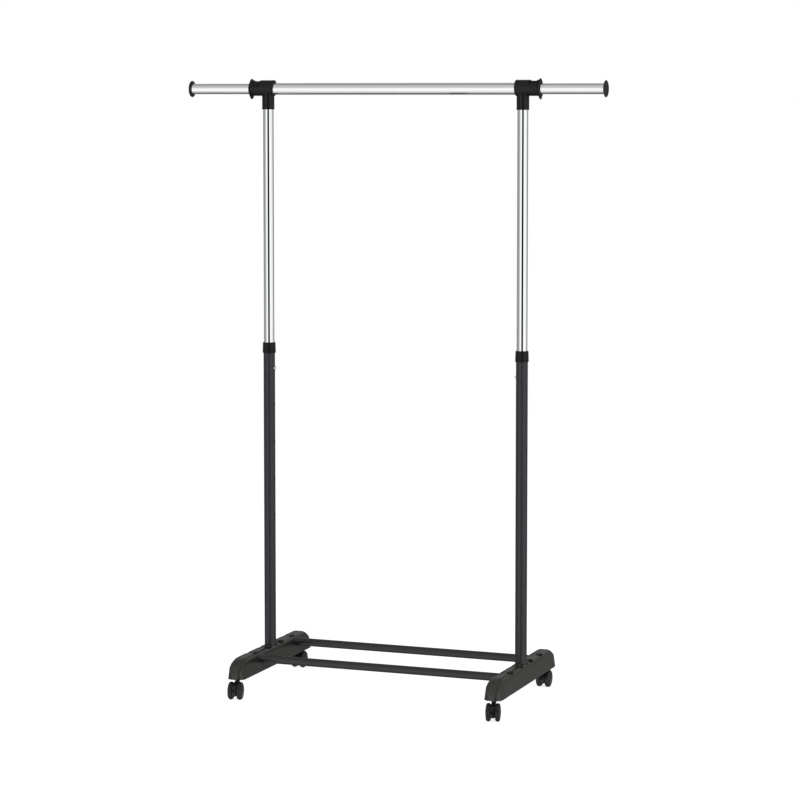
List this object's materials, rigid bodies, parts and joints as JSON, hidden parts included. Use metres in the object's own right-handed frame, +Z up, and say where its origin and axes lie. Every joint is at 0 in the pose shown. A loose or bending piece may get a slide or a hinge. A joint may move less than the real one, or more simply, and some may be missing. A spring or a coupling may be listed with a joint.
{
  "type": "rolling clothes rack",
  "caption": "Free-standing rolling clothes rack with telescoping uprights, a chromed hanging bar with pull-out ends, and long feet on swivel casters.",
  "frame": {"origin": "on the floor, midway between the two uprights", "axes": "+X along the hanging bar to the right, +Y from front to back, +Z up"},
  "size_m": [1.19, 0.5141, 1.668],
  "materials": {
    "foot_plastic": "fine moulded texture",
    "tube_paint": "satin powder coat",
    "chrome": "bright plated",
    "spring_steel": "bright",
    "inner_plastic": "moulded",
    "fitting_plastic": "semi-matt moulded",
    "caster_nylon": "semi-gloss moulded",
    "wheel_nylon": "semi-gloss moulded",
    "zinc_steel": "zinc plated"
  },
  "bodies": {
    "base": {"foot_left": "foot_plastic", "foot_right": "foot_plastic", "front_rail": "tube_paint", "rear_rail": "tube_paint", "rail_screws": "zinc_steel", "lower_tube_left": "tube_paint", "lower_tube_right": "tube_paint", "tube_plug_left": "inner_plastic", "tube_plug_right": "inner_plastic", "foot_bolts": "zinc_steel", "lock_collar_left": "fitting_plastic", "lock_collar_right": "fitting_plastic", "stem_sleeve_fl": "inner_plastic", "stem_sleeve_fr": "inner_plastic", "stem_sleeve_rl": "inner_plastic", "stem_sleeve_rr": "inner_plastic"},
    "top_frame": {"upper_tube_left": "chrome", "upper_tube_right": "chrome", "tube_guide_left": "inner_plastic", "tube_guide_right": "inner_plastic", "tee_left": "fitting_plastic", "tee_right": "fitting_plastic", "centre_bar": "chrome"},
    "snap_button_left": {"snap_clip_left": "spring_steel"},
    "snap_button_right": {"snap_clip_right": "spring_steel"},
    "twist_lock_left": {"twist_lock_left": "fitting_plastic"},
    "twist_lock_right": {"twist_lock_right": "fitting_plastic"},
    "extension_left": {"extension_bar_left": "chrome", "bar_guide_left": "inner_plastic", "end_cap_left": "fitting_plastic"},
    "extension_right": {"extension_bar_right": "chrome", "bar_guide_right": "inner_plastic", "end_cap_right": "fitting_plastic"},
    "caster_fl": {"caster_stem_fl": "zinc_steel", "grip_ring_fl": "zinc_steel", "caster_body_fl": "caster_nylon", "axle_fl": "zinc_steel"},
    "caster_fr": {"caster_stem_fr": "zinc_steel", "grip_ring_fr": "zinc_steel", "caster_body_fr": "caster_nylon", "axle_fr": "zinc_steel"},
    "caster_rl": {"caster_stem_rl": "zinc_steel", "grip_ring_rl": "zinc_steel", "caster_body_rl": "caster_nylon", "axle_rl": "zinc_steel"},
    "caster_rr": {"caster_stem_rr": "zinc_steel", "grip_ring_rr": "zinc_steel", "caster_body_rr": "caster_nylon", "axle_rr": "zinc_steel"},
    "left_wheel_fl": {"left_wheel_fl": "wheel_nylon"},
    "right_wheel_fl": {"right_wheel_fl": "wheel_nylon"},
    "left_wheel_fr": {"left_wheel_fr": "wheel_nylon"},
    "right_wheel_fr": {"right_wheel_fr": "wheel_nylon"},
    "left_wheel_rl": {"left_wheel_rl": "wheel_nylon"},
    "right_wheel_rl": {"right_wheel_rl": "wheel_nylon"},
    "left_wheel_rr": {"left_wheel_rr": "wheel_nylon"},
    "right_wheel_rr": {"right_wheel_rr": "wheel_nylon"}
  },
  "joints": [
    {"name": "height_slide", "type": "slide", "parent": "base", "child": "top_frame", "axis": [0, 0, 1], "range_m": [-0.4064, 0]},
    {"name": "left_button_press", "type": "slide", "parent": "top_frame", "child": "snap_button_left", "axis": [-1, 0, 0], "range_m": [0, 0.005], "stiffness_N_per_m": 1500, "springref_m": -0.001, "deforming": ["snap_clip_left"]},
    {"name": "right_button_press", "type": "slide", "parent": "top_frame", "child": "snap_button_right", "axis": [1, 0, 0], "range_m": [0, 0.005], "stiffness_N_per_m": 1500, "springref_m": -0.001, "deforming": ["snap_clip_right"]},
    {"name": "left_lock_twist", "type": "hinge", "parent": "top_frame", "child": "twist_lock_left", "pos_m": [-0.41, 0, 1.6405], "axis": [1, 0, 0], "range_deg": [0, 90]},
    {"name": "right_lock_twist", "type": "hinge", "parent": "top_frame", "child": "twist_lock_right", "pos_m": [0.41, 0, 1.6405], "axis": [-1, 0, 0], "range_deg": [0, 90]},
    {"name": "left_extension_slide", "type": "slide", "parent": "top_frame", "child": "extension_left", "axis": [-1, 0, 0], "range_m": [-0.173, 0.06]},
    {"name": "right_extension_slide", "type": "slide", "parent": "top_frame", "child": "extension_right", "axis": [1, 0, 0], "range_m": [-0.173, 0.06]},
    {"name": "swivel_fl", "type": "hinge", "parent": "base", "child": "caster_fl", "pos_m": [-0.3655, -0.2245, 0.05], "axis": [0, 0, 1], "continuous": true},
    {"name": "swivel_fr", "type": "hinge", "parent": "base", "child": "caster_fr", "pos_m": [0.3655, -0.2245, 0.05], "axis": [0, 0, 1], "continuous": true},
    {"name": "swivel_rl", "type": "hinge", "parent": "base", "child": "caster_rl", "pos_m": [-0.3655, 0.2245, 0.05], "axis": [0, 0, 1], "continuous": true},
    {"name": "swivel_rr", "type": "hinge", "parent": "base", "child": "caster_rr", "pos_m": [0.3655, 0.2245, 0.05], "axis": [0, 0, 1], "continuous": true},
    {"name": "left_wheel_spin_fl", "type": "hinge", "parent": "caster_fl", "child": "left_wheel_fl", "pos_m": [-0.36268, -0.24228, 0.024], "axis": [0.9877, 0.1564, 0], "continuous": true},
    {"name": "right_wheel_spin_fl", "type": "hinge", "parent": "caster_fl", "child": "right_wheel_fl", "pos_m": [-0.36268, -0.24228, 0.024], "axis": [0.9877, 0.1564, 0], "continuous": true},
    {"name": "left_wheel_spin_fr", "type": "hinge", "parent": "caster_fr", "child": "left_wheel_fr", "pos_m": [0.36955, -0.24204, 0.024], "axis": [0.9744, 0.225, 0], "continuous": true},
    {"name": "right_wheel_spin_fr", "type": "hinge", "parent": "caster_fr", "child": "right_wheel_fr", "pos_m": [0.36955, -0.24204, 0.024], "axis": [0.9744, 0.225, 0], "continuous": true},
    {"name": "left_wheel_spin_rl", "type": "hinge", "parent": "caster_rl", "child": "left_wheel_rl", "pos_m": [-0.3655, 0.2065, 0.024], "axis": [1, 0, 0], "continuous": true},
    {"name": "right_wheel_spin_rl", "type": "hinge", "parent": "caster_rl", "child": "right_wheel_rl", "pos_m": [-0.3655, 0.2065, 0.024], "axis": [1, 0, 0], "continuous": true},
    {"name": "left_wheel_spin_rr", "type": "hinge", "parent": "caster_rr", "child": "left_wheel_rr", "pos_m": [0.3655, 0.2065, 0.024], "axis": [1, 0, 0], "continuous": true},
    {"name": "right_wheel_spin_rr", "type": "hinge", "parent": "caster_rr", "child": "right_wheel_rr", "pos_m": [0.3655, 0.2065, 0.024], "axis": [1, 0, 0], "continuous": true}
  ]
}
